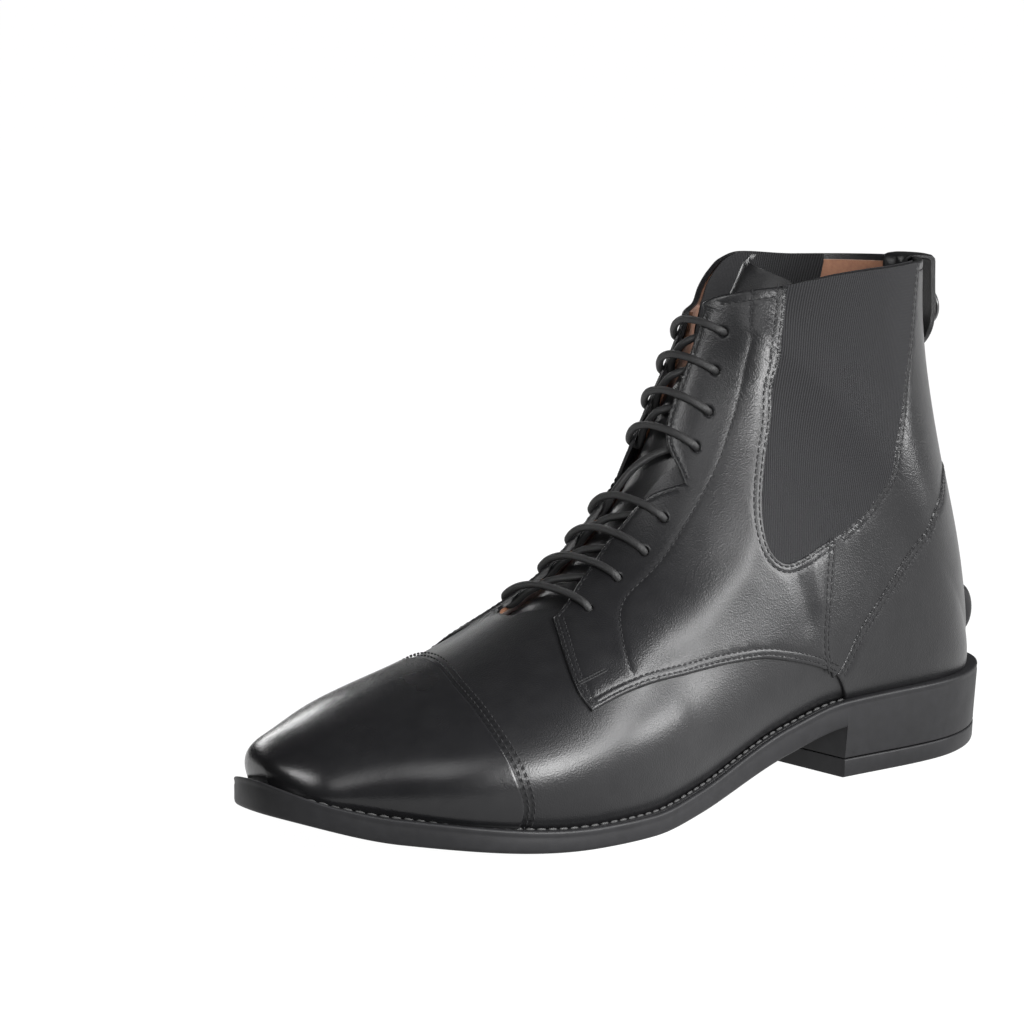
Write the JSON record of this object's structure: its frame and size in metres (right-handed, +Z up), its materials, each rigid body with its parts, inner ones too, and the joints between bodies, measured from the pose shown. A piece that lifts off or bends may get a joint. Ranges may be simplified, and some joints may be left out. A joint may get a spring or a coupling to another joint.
{
  "type": "jodhpur boot",
  "caption": "Black leather jodhpur boot for the left foot, with a toe cap, laced front, elastic side gores and a low block heel.",
  "frame": {"origin": "on the floor, under the middle of the boot's bounding box", "axes": "+X to the toe, +Y to the outer side of this left boot, +Z up"},
  "size_m": [0.29, 0.1102, 0.1649],
  "materials": {
    "leather": "smooth black leather with a soft gloss",
    "lining": "matt brown lining leather",
    "elastic": "matt ribbed elastic",
    "rubber": "satin black rubber",
    "cord": "waxed black cord",
    "stud": "black stud"
  },
  "bodies": {
    "root": {"outsole": "rubber", "heel_lift": "rubber", "welt": "leather", "insole": "lining", "upper": "leather", "tongue": "leather", "toe_cap": "leather", "quarter_outer": "leather", "quarter_inner": "leather", "back_quarter_outer": "leather", "back_quarter_inner": "leather", "gore_outer": "elastic", "gore_inner": "elastic", "heel_counter": "leather", "back_strap": "leather", "strap_stud": "stud", "spur_rest": "rubber", "lace_bar_1": "cord", "lace_bar_2": "cord", "lace_bar_3": "cord", "lace_bar_4": "cord", "lace_bar_5": "cord", "lace_bar_6": "cord", "lace_bar_7": "cord", "lace_bar_8": "cord"}
  },
  "joints": []
}
